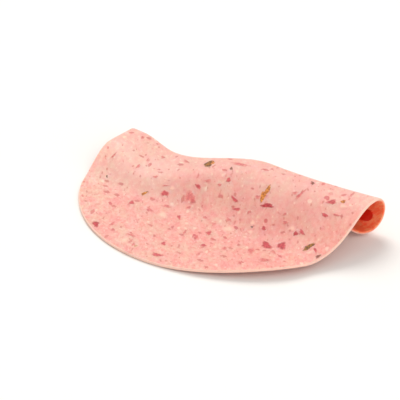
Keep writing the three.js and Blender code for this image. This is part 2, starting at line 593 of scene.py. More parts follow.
class Recipe:
    """The nodes of one material or of the world."""

    def __init__(self, tree: bpy.types.NodeTree) -> None:
        """Starts from an empty node tree."""
        self.tree = tree
        tree.nodes.clear()

    @classmethod
    def on(cls, piece: Piece, name: str) -> "Recipe":
        """Starts a new material on a piece.

        Args:
            piece: The piece that wears it.
            name: The material's name.

        Returns:
            The material's empty recipe.
        """
        material = bpy.data.materials.new(name)
        material.use_nodes = True
        piece.data.materials.append(material)
        return cls(material.node_tree)

    def node(
        self,
        kind: str,
        settings: Optional[Mapping[str, Any]] = None,
        sockets: Optional[Mapping[Union[int, str], Term]] = None,
        output: Union[int, str] = 0,
    ) -> Channel:
        """Adds any node.

        Args:
            kind: The node's type, after the words that all types begin with.
            settings: Its own settings, which are set first.
            sockets: A value or a channel for each of its inputs.
            output: Which of its outputs is wanted.

        Returns:
            That output.
        """
        made = self.tree.nodes.new("ShaderNode" + kind)
        for name, value in (settings or {}).items():
            setattr(made, name, value)
        for name, value in (sockets or {}).items():
            if isinstance(value, Channel):
                self.tree.links.new(value.socket, made.inputs[name])
            else:
                made.inputs[name].default_value = value
        return Channel(self, made.outputs[output] if len(made.outputs) else None)

    def attribute(self, name: str, output: str) -> Channel:
        """What a mesh keeps under a name."""
        return self.node("Attribute", {"attribute_name": name}, output=output)

    def blend(self, share: Term, first: Term, second: Term) -> Channel:
        """A colour a share of the way from the first to the second."""
        first_colour, second_colour, result = 6, 7, 2
        return self.node(
            "Mix",
            {"data_type": "RGBA"},
            {0: share, first_colour: first, second_colour: second},
            result,
        )

    def vector(self, operation: str, sockets: Mapping[Union[int, str], Term]) -> Channel:
        """One Vector Math node."""
        output = "Value" if operation == "LENGTH" else "Vector"
        return self.node("VectorMath", {"operation": operation}, sockets, output)

    def drawn_out(
        self, place: Channel, turn: float, stretch: float, shift: Sequence[float] = (0.0, 0.0, 0.0)
    ) -> Channel:
        """A place whose pattern comes out longer along one direction of the sheet.

        Args:
            place: The place in the sheet.
            turn: The direction.
            stretch: How many times longer.
            shift: How far the pattern is moved.

        Returns:
            The place in the pattern.
        """
        sockets = {"Location": shift, "Rotation": (0.0, 0.0, turn), "Scale": (stretch, 1.0, 1.0)}
        sockets["Vector"] = place
        return self.node("Mapping", {"vector_type": "TEXTURE"}, sockets)

    def clouds(self, place: Channel, size: float, detail: float, roughness: float) -> Channel:
        """Cloudy noise from 0 to 1, with lumps of about this size."""
        sockets = {"Vector": place, "Scale": 1.0 / size, "Detail": detail, "Roughness": roughness}
        return self.node("TexNoise", {}, sockets)

    def warped(self, place: Channel, size: float, reach: float) -> Channel:
        """A place pushed about by noise: the place, plus the reach times centred clouds.

        Args:
            place: The place in the sheet.
            size: The size of the lumps of noise.
            reach: Twice the farthest push.

        Returns:
            The pushed place.
        """
        push = self.clouds(place, size, 2.0, 0.5).beside("Color")
        centred = self.vector("ADD", {0: push, 1: (-0.5, -0.5, -0.5)})
        scaled = self.vector("SCALE", {0: centred, "Scale": reach})
        return self.vector("ADD", {0: place, 1: scaled})

    def shards(self, place: Channel, kind: "Speckles") -> Channel:
        """Scattered bits in a field of random cells.

        Each cell holds one bit at most. Its radius lies between the least and the greatest
        by the cell's second random number, and it is there if the first is under the share.

        Args:
            place: The place in the sheet.
            kind: The kind of bits.

        Returns:
            A mask, 1 inside a bit and 0 outside.
        """
        stretched = self.drawn_out(place, kind.turn, kind.stretch, kind.shift)
        distance = self.node(
            "TexVoronoi", {}, {"Vector": stretched, "Scale": 1.0 / kind.spacing}
        )
        chance, size = distance.beside("Color").parts()
        radius = size * (kind.most - kind.least) + kind.least
        mask = (distance * kind.spacing - radius).rising(kind.softness, -kind.softness)
        return mask * (chance < kind.share)

    def bumpy(self, relief: Channel) -> Channel:
        """The normal of a surface with a fine relief."""
        sockets = {"Strength": RELIEF_STRENGTH, "Distance": RELIEF_DEPTH * MM, "Height": relief}
        return self.node("Bump", {}, sockets)

    def shader(self, **sockets: Term) -> Channel:
        """An all-round shader.

        Args:
            **sockets: A value or a channel for each of its inputs, by the input's name.

        Returns:
            The shader.
        """
        named = {name.replace("_", " ").title(): value for name, value in sockets.items()}
        named = {name.replace("Ior", "IOR"): value for name, value in named.items()}
        return self.node("BsdfPrincipled", {}, named)

    def finish(self, shader: Channel) -> None:
        """Ends the recipe in a shader."""
        self.node("OutputMaterial", {}, {"Surface": shader})


@dataclass(frozen=True)
class Ramp:
    """A smoothstep from 0 at low to its strength at high, or falling where low is the greater."""

    low: float
    high: float
    strength: float = 1.0

    def of(self, channel: Channel) -> Channel:
        """How far up the ramp a channel is."""
        return channel.rising(self.low, self.high) * self.strength


# --- Finishes ---


@dataclass(frozen=True)
class Speckles:
    """One kind of small bits, scattered over a field of random cells.

    Each kind has its colour, how strongly it shows, and its relief. Then come the field's
    spacing, the least and the most radius, the share of the cells that hold a bit, and how
    soft, how drawn out and how turned the bits are, and where the field begins.
    """

    colour: Colour
    strength: float
    relief: float
    spacing: float
    least: float
    most: float
    share: float
    softness: float = 0.08
    stretch: float = 1.0
    turn: float = 0.0
    shift: tuple[float, float, float] = (0.0, 0.0, 0.0)


@dataclass(frozen=True)
class CookedFlesh:
    """Fine cooked meat: pink and beige, mottled, full of streaks and specks."""

    name: str = "cooked_flesh"
    grain_turn: float = math.radians(-51.0)
    grain_stretch: float = 1.45
    loose_size: float = 1.6
    loose_reach: float = 1.3
    broad_size: float = 15.0
    hue_size: float = 5.0
    mottle_size: float = 1.5
    fine_size: float = 0.5
    pink: Colour = paint(242, 169, 156)
    beige: Colour = paint(235, 180, 159)
    pale: Colour = paint(248, 209, 194)
    rosy: Colour = paint(230, 130, 125)
    # The pale cut edge: partly a paler cut face, partly a painted highlight where the edge catches
    # the light.
    rim: Colour = paint(255, 222, 204)
    # Painted light inside the roll: a glow of light through the sheet, a shaded copy of it, and a
    # painted dark shade in the core.
    lit_through: Colour = paint(255, 160, 104)
    lit_shade: Colour = paint(255, 112, 60)
    painted_core_shade: Colour = paint(214, 30, 14)
    beige_by_hue: Ramp = Ramp(0.42, 0.6)
    rosy_by_mottle: Ramp = Ramp(0.52, 0.34, 0.6)
    pale_by_mottle: Ramp = Ramp(0.5, 0.7, 0.75)
    redder_by_middle: Ramp = Ramp(58.0, 26.0, 0.26)
    redder_by_clouds: Ramp = Ramp(0.6, 0.35, 0.12)
    # Painted shade: the flesh darker towards the near edge and towards the right.
    painted_shade_by_near_edge: Ramp = Ramp(-36.0, -56.0, 0.1)
    painted_shade_by_right: Ramp = Ramp(5.0, 50.0, 0.2)
    # Painted light: paler over the far side, where the light falls on the crest, and in a band at
    # the ramp's foot on the left, to lighten the shade that falls there.
    painted_light_by_far_side: Ramp = Ramp(-24.0, 6.0, 0.25)
    foot_start: Ramp = Ramp(-30.0, -14.0)
    foot_end: Ramp = Ramp(12.0, -6.0)
    foot_by_left: Ramp = Ramp(6.0, -36.0, 0.38)
    shade_by_mottle: Ramp = Ramp(0.56, 0.44)
    # How much of the painted glow and of the painted dark shade the inside of the roll gets.
    mouth: Ramp = Ramp(0.0, 0.45, 0.85)
    core: Ramp = Ramp(0.5, 0.95, 0.92)
    # How far in the pale edge and its painted highlight reach, and how much of them give way to the
    # mottle and to the roll's painted glow.
    rim_reach: Ramp = Ramp(0.6, 0.1, 0.9)
    rim_mottled: float = 0.5
    rim_lost_inside: float = 2.0
    gloss_by_mottle: Ramp = Ramp(0.3, 0.7, 0.1)
    speckles: tuple[Speckles, ...] = (
        Speckles(
            paint(255, 224, 202), 0.5, -0.3,
            spacing=3.3, least=0.25, most=0.75, share=0.5, softness=0.3,
        ),
        Speckles(
            paint(255, 214, 196), 0.6, 0.0,
            spacing=1.3, least=0.12, most=0.32, share=0.5, softness=0.15,
            shift=(8.0, 3.0, 5.0),
        ),
        Speckles(
            paint(224, 110, 108), 0.5, 0.0,
            spacing=1.5, least=0.1, most=0.24, share=0.5, softness=0.12,
            stretch=2.8, turn=0.35,
        ),
        Speckles(
            paint(222, 112, 110), 0.5, 0.0,
            spacing=1.7, least=0.1, most=0.24, share=0.5, softness=0.12,
            stretch=2.8, turn=1.4, shift=(17.0, 3.0, 0.0),
        ),
        Speckles(
            paint(214, 122, 112), 0.45, 0.0,
            spacing=4.3, least=0.3, most=0.7, share=0.5, softness=0.25,
            stretch=1.3, turn=0.9, shift=(9.0, 4.0, 2.0),
        ),
        Speckles(
            paint(208, 104, 98), 0.62, 0.2,
            spacing=1.9, least=0.2, most=0.45, share=0.6, softness=0.15,
            stretch=1.4, turn=0.2, shift=(5.0, 9.0, 3.0),
        ),
        Speckles(
            paint(204, 92, 90), 0.7, 0.2,
            spacing=3.1, least=0.3, most=0.7, share=0.65, softness=0.2,
            stretch=2.0, turn=1.2, shift=(2.0, 6.0, 8.0),
        ),
        Speckles(
            paint(208, 98, 96), 0.68, 0.2,
            spacing=3.4, least=0.3, most=0.7, share=0.65, softness=0.2,
            stretch=2.2, turn=2.6, shift=(21.0, 6.0, 4.0),
        ),
        Speckles(
            paint(206, 76, 84), 0.72, 0.4,
            spacing=5.0, least=0.35, most=0.8, share=0.45, softness=0.15,
            stretch=1.5, turn=0.8, shift=(3.0, 2.0, 1.0),
        ),
        Speckles(
            paint(190, 136, 66), 0.5, 0.2,
            spacing=11.0, least=0.25, most=0.5, share=0.45, softness=0.12,
            stretch=1.6, turn=2.0, shift=(7.0, 4.0, 6.0),
        ),
        Speckles(
            paint(146, 66, 58), 0.6, 0.2,
            spacing=9.5, least=0.12, most=0.34, share=0.4, softness=0.08,
            shift=(1.0, 8.0, 2.0),
        ),
    )

    def surface(self, recipe: Recipe) -> tuple[Channel, Channel, Channel]:
        """Works out how the flesh looks at each place in the sheet.

        Args:
            recipe: The recipe to add to.

        Returns:
            Its colour, its mottle and its relief.
        """
        flat = recipe.attribute(SHEET_PLACE, "Vector")
        place = recipe.drawn_out(flat, self.grain_turn, self.grain_stretch)
        loose = recipe.warped(place, self.loose_size, self.loose_reach)
        from_middle = recipe.vector("LENGTH", {0: flat})
        broad = recipe.clouds(place, self.broad_size, 2.0, 0.5)
        hue = recipe.clouds(loose, self.hue_size, 3.0, 0.6)
        mottle = recipe.clouds(loose, self.mottle_size, 4.0, 0.7)
        fine = recipe.clouds(place, self.fine_size, 3.0, 0.6)
        colour = recipe.blend(self.beige_by_hue.of(hue), self.pink, self.beige)
        colour = recipe.blend(self.rosy_by_mottle.of(mottle), colour, self.rosy)
        colour = recipe.blend(self.pale_by_mottle.of(mottle), colour, self.pale)
        along, across = flat.parts()
        # Rosier in the middle and in random clouds, and painted shade towards the near edge and
        # towards the right.
        rosy_and_painted_shade = self.redder_by_middle.of(from_middle) + self.redder_by_clouds.of(broad)
        rosy_and_painted_shade = rosy_and_painted_shade + self.painted_shade_by_near_edge.of(across) + self.painted_shade_by_right.of(along)
        colour = recipe.blend(rosy_and_painted_shade, colour, self.rosy)
        # Painted light: a band at the ramp's foot on the left, and the far side, made paler.
        painted_foot_light = self.foot_start.of(across) * self.foot_end.of(across) * self.foot_by_left.of(along)
        painted_light = self.painted_light_by_far_side.of(across).highest(painted_foot_light)
        colour = recipe.blend(painted_light, colour, self.pale)
        relief = fine * 0.5 + mottle * 0.5
        for kind in self.speckles:
            mask = recipe.shards(loose, kind)
            colour = recipe.blend(mask * kind.strength, colour, kind.colour)
            if kind.relief:
                relief = relief + mask * kind.relief
        # Inside the roll: a painted glow of light through the sheet, mottled with its shaded copy,
        # and painted dark shade in the core.
        inside = recipe.attribute(PAINTED_ROLL_LIGHT, "Fac")
        lit = recipe.blend(self.shade_by_mottle.of(mottle), self.lit_through, self.lit_shade)
        colour = recipe.blend(self.mouth.of(inside), colour, lit)
        colour = recipe.blend(self.core.of(inside), colour, self.painted_core_shade)
        return colour, mottle, relief

    def dress(self, piece: Piece) -> None:
        """Puts the finish on a piece.

        Args:
            piece: The piece that wears it.
        """
        recipe = Recipe.on(piece, self.name)
        colour, mottle, relief = self.surface(recipe)
        # The pale cut edge: partly a paler cut face, partly a painted highlight of the light that
        # the edge catches. Inside the roll it gives way to the painted glow.
        rim = self.rim_reach.of(recipe.attribute(RIM_DISTANCE, "Fac"))
        inside = recipe.attribute(PAINTED_ROLL_LIGHT, "Fac")
        normal = recipe.bumpy(relief)
        lost = mottle * self.rim_mottled + inside * self.rim_lost_inside
        edge = recipe.shader(
            base_color=recipe.blend(lost, self.rim, colour),
            roughness=0.5,
            normal=normal,
            specular_ior_level=0.15,
        )
        flesh = recipe.shader(
            base_color=colour,
            roughness=self.gloss_by_mottle.of(mottle) + 0.42,
            normal=normal,
            subsurface_weight=0.8,
            subsurface_radius=(1.0, 0.3, 0.15),
            subsurface_scale=2.2 * MM,
            specular_ior_level=0.15,
            coat_weight=0.04,
            coat_roughness=0.35,
        )
        both = recipe.node("MixShader", {}, {0: rim, 1: flesh, 2: edge})
        recipe.finish(both)


@dataclass(frozen=True)
class BitFinish:
    """A bit that is set in the flesh: its own colour, mottled, and lost in the flesh around it."""

    name: str
    colour: Colour
    shade: Colour
    strength: float = 1.0
    edge: float = 0.6  # how far out from its middle it begins to be lost
    patch_size: float = 0.8
    patches: Ramp = Ramp(0.35, 0.65)
    raggedness: float = 0.5

    def dress(self, piece: Piece) -> None:
        """Puts the finish on a piece.

        Args:
            piece: The piece that wears it.
        """
        recipe = Recipe.on(piece, self.name)
        flesh, _, relief = CookedFlesh().surface(recipe)
        place = recipe.attribute(SHEET_PLACE, "Vector")
        share = recipe.attribute(BIT_SHARE, "Fac")
        patchy = recipe.clouds(place, self.patch_size, 3.0, 0.6)
        own = recipe.blend(self.patches.of(patchy), self.shade, self.colour)
        ragged = share + (patchy - 0.5) * self.raggedness
        shown = ragged.rising(1.0, self.edge) * self.strength
        normal = recipe.bumpy(relief)
        shader = recipe.shader(
            base_color=recipe.blend(shown, flesh, own),
            roughness=patchy * 0.15 + 0.4,
            normal=normal,
            specular_ior_level=0.12,
        )
        recipe.finish(shader)


class BitKind(Enum):
    """The kinds of bits that are large enough to have a shape of their own."""

    DEEP = "deep_red_bits"
    MEAT = "red_meat_bits"
    ROSE = "rosy_bits"
    HERB = "herb_bits"
    PEPPER = "pepper_slivers"
    SPICE = "spice_specks"
    FAT = "fat_bits"


BIT_FINISHES: dict[BitKind, BitFinish] = {
    BitKind.DEEP: BitFinish("deep_red_meat", paint(206, 66, 76), paint(164, 42, 48), 0.95, 0.55),
    BitKind.MEAT: BitFinish("red_meat", paint(216, 84, 90), paint(184, 60, 68), 0.92, 0.45),
    BitKind.ROSE: BitFinish("rosy_meat", paint(226, 106, 106), paint(196, 84, 86), 0.75, 0.3),
    BitKind.HERB: BitFinish("herb", paint(172, 112, 24), paint(78, 42, 6), 0.97, 0.7),
    BitKind.PEPPER: BitFinish("pepper", paint(232, 148, 62), paint(160, 82, 28), 0.97, 0.75),
    BitKind.SPICE: BitFinish("spice", paint(142, 84, 62), paint(108, 54, 40), 0.9, 0.5),
    BitKind.FAT: BitFinish("fat", paint(255, 218, 196), paint(255, 206, 182), 0.6, 0.1),
}


# --- The camera, as the photograph has it ---


@dataclass(frozen=True)
class PhotoCamera:
    """Where the camera stands and how it looks, in degrees and millimetres."""

    azimuth: float = 38.89
    elevation: float = 29.17
    distance: float = 1001.5
    aim_azimuth: float = 38.99
    aim_elevation: float = 30.17
    roll: float = -0.33
    lens: float = 108.1
    sensor: float = 36.0
    frame: float = 400.0
    closer: float = 2.2
    clip: Span = (0.05, 50.0)

    @staticmethod
    def outward(azimuth: float, elevation: float) -> Grid:
        """The direction from the part to a camera at this azimuth and elevation.

        Args:
            azimuth: Degrees to the right of the front.
            elevation: Degrees above level.

        Returns:
            A vector of length 1.
        """
        turn, lift = math.radians(azimuth), math.radians(elevation)
        level = math.cos(lift)
        return np.array([math.sin(turn) * level, -math.cos(turn) * level, math.sin(lift)])

    def position(self) -> Grid:
        """Where the camera stands."""
        return self.outward(self.azimuth, self.elevation) * self.distance

    def axes(self) -> tuple[Grid, Grid, Grid]:
        """The picture's own directions.

        Returns:
            Its right, its up, and the way back to the camera.
        """
        back = self.outward(self.aim_azimuth, self.aim_elevation)
        level_right = np.cross([0.0, 0.0, 1.0], back)
        level_right = level_right / np.linalg.norm(level_right)
        level_up = np.cross(back, level_right)
        roll = math.radians(self.roll)
        up = level_up * math.cos(roll) + level_right * math.sin(roll)
        return np.cross(up, back), up, back

    def pixels(self, points: Grid) -> Grid:
        """Where points are seen in the photograph.

        Args:
            points: Points in the part's own frame.

        Returns:
            For each point, its pixels from the left and from the top.
        """
        right, up, back = self.axes()
        offset = points - self.position()
        away = -(offset @ back)
        focal = self.lens / self.sensor * self.frame
        middle = self.frame / 2.0
        across = middle + focal * (offset @ right) / away
        down = middle - focal * (offset @ up) / away
        return np.stack([across, down], axis=-1)

    def add(self, target: Grid) -> None:
        """Adds the camera, aimed at the part from the photograph's place, and closer in.

        Args:
            target: The point that it is aimed at.
        """
        data = bpy.data.cameras.new("camera")
        data.sensor_width = self.sensor
        data.lens = self.lens * self.closer
        data.clip_start, data.clip_end = self.clip
        camera = put("camera", data)
        camera.location = Vector(self.position() * MM)
        toward = Vector((target - self.position()) * MM)
        level = toward.to_track_quat("-Z", "Y").to_matrix()
        camera.rotation_mode = "QUATERNION"
        turn = Matrix.Rotation(math.radians(-self.roll), 3, "Z")
        camera.rotation_quaternion = (level @ turn).to_quaternion()
        bpy.context.scene.camera = camera


# --- The slice ---


@dataclass
class CookedSlice:
    """The sheet of meat itself, with two skins and a rounded cut edge."""

    form: SliceForm = field(default_factory=SliceForm)
    handling: SoftHandling = field(default_factory=SoftHandling)
    columns: int = 190
    rows: tuple[int, ...] = (62, 60, 12, 36, 12, 34, 14)
    edge_round: float = 0.3
    edge_points: int = 4
    edge_bulge: float = 0.06
    # core_turn, core_half, core_edge, core_end, core_start, deep_fade, lower_turn, lower_share and
    # left_share set where the painted glow and painted shade lie inside the roll.
    core_turn: float = 2.25  # of the far turn, where the painted dark shade of the roll's core lies
    core_half: Span = (2.9, 0.38)  # its reach along the roll, and in turn
    map_span: float = 4.4  # of the flat map's side, in radii
    map_middles: Span = (0.25, 0.75)
    core_edge: Span = (0.85, 1.15)  # from where it fades to where it ends
    core_end: float = 52.3
    core_start: float = -20.0
    deep_fade: float = 6.0
    lower_turn: Span = (2.4, 3.0)
    lower_share: float = 0.25
    left_share: float = 0.2

    def __post_init__(self) -> None:
        """Stands the form where the solid stands, so that their lowest corners agree."""
        plain = SoftHandling(ripple=0.0, outline_waver=0.0, unevenness=0.0)
        bare = PlacedForm(self.form, plain, np.zeros(3))
        u, v = self.flat_grid()
        half = self.form.thickness / 2.0
        skins = np.concatenate([bare.point(u, v, np.full(u.shape, side)) for side in (half, -half)])
        low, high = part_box(NODE)
        solid_low, solid_high = np.array(low) / MM, np.array(high) / MM
        found_low, found_high = skins.min(axis=(0, 1)), skins.max(axis=(0, 1))
        shift = (solid_low + solid_high - found_low - found_high) / 2.0
        shift[2] = solid_low[2] - found_low[2] + self.handling.lift
        self.placed = PlacedForm(self.form, self.handling, shift)

    def middle_of(self) -> Grid:
        """The middle of the solid's box."""
        low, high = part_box(NODE)
        return (np.array(low) + np.array(high)) / 2.0 / MM

    def stations(self) -> tuple[Grid, Grid]:
        """Where every row of the grid lies on its way across the sheet.

        Returns:
            The stretch that each row is in, and its share of the way through that stretch.
        """
        stretch = np.repeat(np.arange(len(self.rows)), self.rows)
        share = np.concatenate([np.arange(count) / count for count in self.rows])
        return np.append(stretch, len(self.rows) - 1), np.append(share, 1.0)

    def flat_grid(self) -> tuple[Grid, Grid]:
        """The grid over the flat sheet, whose rows follow the roll's bends.

        A square grid is stretched over the outline. The bends' sizes change along u, so
        each row finds its v from the sizes at its u, and then its u from that v, in a few
        rounds.

        Returns:
            The u and the v of every grid point, rows first.
        """
        stretch, share = self.stations()
        s = np.linspace(-1.0, 1.0, self.columns + 1)[None, :] * np.ones((stretch.size, 1))
        u = self.form.radius * s
        v = np.zeros_like(u)
        row = np.arange(stretch.size)
        for _ in range(self.form.row_fits):
            breaks = self.form.row_breaks(s, u)
            start, end = breaks[stretch, row], breaks[stretch + 1, row]
            v = lerp(start, end, share[:, None])
            u = self.form.column_u(s, v)
        return u, v

    @staticmethod
    def around(grid: Grid) -> Grid:
        """The grid's outermost points in one loop, along the near edge first."""
        return np.concatenate([grid[0, :-1], grid[:-1, -1], grid[-1, :0:-1], grid[:0:-1, 0]])

    def edge_profile(self) -> tuple[Grid, Grid]:
        """The cut edge from the upper skin to the lower: a quarter round, a bulge, and another.

        Returns:
            How far in each point lies, and how far up.
        """
        half, corner = self.form.thickness / 2.0, self.edge_round
        turn = np.linspace(math.pi / 2.0, 0.0, self.edge_points)
        inset = corner * (1.0 - np.cos(turn))
        height = half - corner + corner * np.sin(turn)
        inset = np.concatenate([inset, [-self.edge_bulge], inset[::-1]])
        height = np.concatenate([height, [0.0], -height[::-1]])
        return inset, height

    def painted_roll_light_share(self, u: Grid, v: Grid, depth: Grid) -> Grid:
        """How much painted light the inside of the roll gets: 0 outside it, 0.5 in its mouth and 1
        in its core.

        In the mouth it is a painted glow of light through the sheet, and in the core a painted
        dark shade. Across the cut edge it falls from the lower skin's value to nothing at the
        upper.
        The lower side of the mouth gets a little more painted shade than the upper. The core is
        round where it ends in the mouth, by its distance along the roll and in turn, each over
        the core's reach. Further in, all of the roll gets as much painted shade, up to the pressed
        stretch, which is pale again at its end.

        Args:
            u: Places along the roll.
            v: Places across it.
            depth: Distances from the middle layer.

        Returns:
            The share at every place.
        """
        roll = self.form.section(u)
        radius = self.form.radius
        turn = (v - roll.top_start - roll.taken_up) / roll.outer_bend
        along = np.maximum(u - self.core_end, 0.0) / self.core_half[0]
        away = np.hypot(along, (turn - self.core_turn) / self.core_half[1])
        fade_start, fade_end = self.core_edge
        core = smooth((fade_end - away) / (fade_end - fade_start))
        deep = smooth((self.core_end - u) / self.deep_fade)
        open_part = smooth((u + radius) / (self.core_start + radius))
        lower_start, lower_end = self.lower_turn
        lower = smooth((turn - lower_start) / (lower_end - lower_start)) * self.lower_share
        darker = np.maximum(np.maximum(core, deep), lower)
        share = lerp(0.5, 1.0, darker) * lerp(self.left_share, 1.0, open_part)
        below = np.clip(0.5 - depth / self.form.thickness, 0.0, 1.0)
        return smooth(turn) * below * share

    def build(self) -> Piece:
        """Builds the slice as one closed mesh.

        The upper skin's points come first, then the lower skin's, then the rings of the
        cut edge between them.

        Returns:
            The new piece, with its place in the sheet and its distance from the rim kept.
        """
        radius = self.form.radius
        u, v = self.flat_grid()
        waver = self.handling.outline_scale(u, v, radius)
        u, v = u * waver, v * waver
        inset, height = self.edge_profile()
        skin_scale = 1.0 - inset[0] / radius
        number = np.arange(u.size).reshape(u.shape)
        loop = self.around(number)

        flat_u = [u.ravel() * skin_scale] * 2
        flat_v = [v.ravel() * skin_scale] * 2
        depth = [np.full(u.size, height[0]), np.full(u.size, height[-1])]
        reach = self.rim_reach(u, v)
        rim = [reach.ravel() + inset[0]] * 2
        for ring_inset, ring_height in zip(inset[1:-1], height[1:-1]):
            scale = 1.0 - ring_inset / radius
            flat_u.append(u.ravel()[loop] * scale)
            flat_v.append(v.ravel()[loop] * scale)
            depth.append(np.full(loop.size, ring_height))
            rim.append(np.full(loop.size, max(ring_inset, 0.0)))
        all_u, all_v, all_depth = (np.concatenate(part) for part in (flat_u, flat_v, depth))
        points = self.placed.point(all_u, all_v, all_depth)

        upper = self.quads(number)
        lower = self.quads(number + u.size)[:, ::-1]
        first_ring = 2 * u.size
        rings = [loop]
        rings += [first_ring + k * loop.size + np.arange(loop.size) for k in range(len(inset) - 2)]
        rings += [loop + u.size]
        bands = [
            np.stack([low, np.roll(low, -1), np.roll(high, -1), high], axis=-1)
            for high, low in zip(rings[:-1], rings[1:])
        ]
        faces = np.concatenate([upper, lower, *bands])
        piece = make_piece("slice_sheet", points, faces.tolist())
        flat = np.stack([all_u, all_v, all_depth], axis=-1)
        store(piece, SHEET_PLACE, flat)
        store(piece, RIM_DISTANCE, np.concatenate(rim))
        # The painted glow and painted shade inside the roll.
        store(piece, PAINTED_ROLL_LIGHT, self.painted_roll_light_share(all_u, all_v, all_depth))
        band_start = len(upper) + len(lower)
        upper_bands = range(band_start, band_start + len(bands) // 2 * loop.size)
        self.lay_out(piece, flat, faces, [range(len(upper)), upper_bands])
        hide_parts(NODE)
        return piece

    def rim_reach(self, u: Grid, v: Grid) -> Grid:
        """About how far each point is from the outline, along the way from the middle.

        Args:
            u: Places along the roll.
            v: Places across it.

        Returns:
            The distance, and 0 at the outline.
        """
        n, reach = self.form.outline(v > 0.0)
        share = (np.abs(u / self.form.radius) ** n + np.abs(v / reach) ** n) ** (1.0 / n)
        return np.clip(1.0 - share, 0.0, 1.0) * np.hypot(u, v) / np.maximum(share, 0.01)

    @staticmethod
    def quads(number: Grid) -> Grid:
        """The faces between neighbouring grid points, turned upwards."""
        corners = [number[:-1, :-1], number[:-1, 1:], number[1:, 1:], number[1:, :-1]]
        return np.stack([corner.ravel() for corner in corners], axis=-1)

    def lay_out(self, piece: Piece, flat: Grid, faces: Grid, of_upper: Sequence[range]) -> None:
        """Gives the piece a map of the flat sheet: the upper side, and the lower side beside it.

        The cut edge lies round each side, as far out as it is down from the skin.

        Args:
            piece: The slice.
            flat: Each vertex's places along and across the roll, and its depth.
            faces: The faces, as vertex numbers.
            of_upper: Which of them go with the upper side.
        """
        half, radius = self.form.thickness / 2.0, self.form.radius
        grown = 1.0 + (half - np.abs(flat[:, 2])) / radius
        across, along = (flat[:, :2] * (grown / (self.map_span * radius))[:, None]).T
        is_upper = np.zeros(len(faces), bool)
        for numbers in of_upper:
            is_upper[numbers] = True
        side = np.repeat(is_upper, faces.shape[1])
        corner = faces.ravel()
        first, second = self.map_middles
        map_u = np.where(side, first + across[corner], second - across[corner])
        map_v = first + along[corner]
        layer = piece.data.uv_layers.new(name="OFBake")
        layer.uv.foreach_set("vector", np.stack([map_u, map_v], axis=-1).astype(np.float32).ravel())


# --- The bits that are set in the slice ---


@dataclass(frozen=True)
class SeenBit:
    """A bit that the photograph shows: its middle, length and width in pixels, and its turn.

    The turn is in degrees, anticlockwise from level, as the picture shows it.
    """

    at: Pixel
    length: float
    width: float
    turn: float = 0.0


@dataclass(frozen=True)
class BitPlaces:
    """Where bits lie: their middles, the two half axes of each in the sheet, and their side."""

    u: Grid
    v: Grid
    half_axes: Grid
    side: Grid


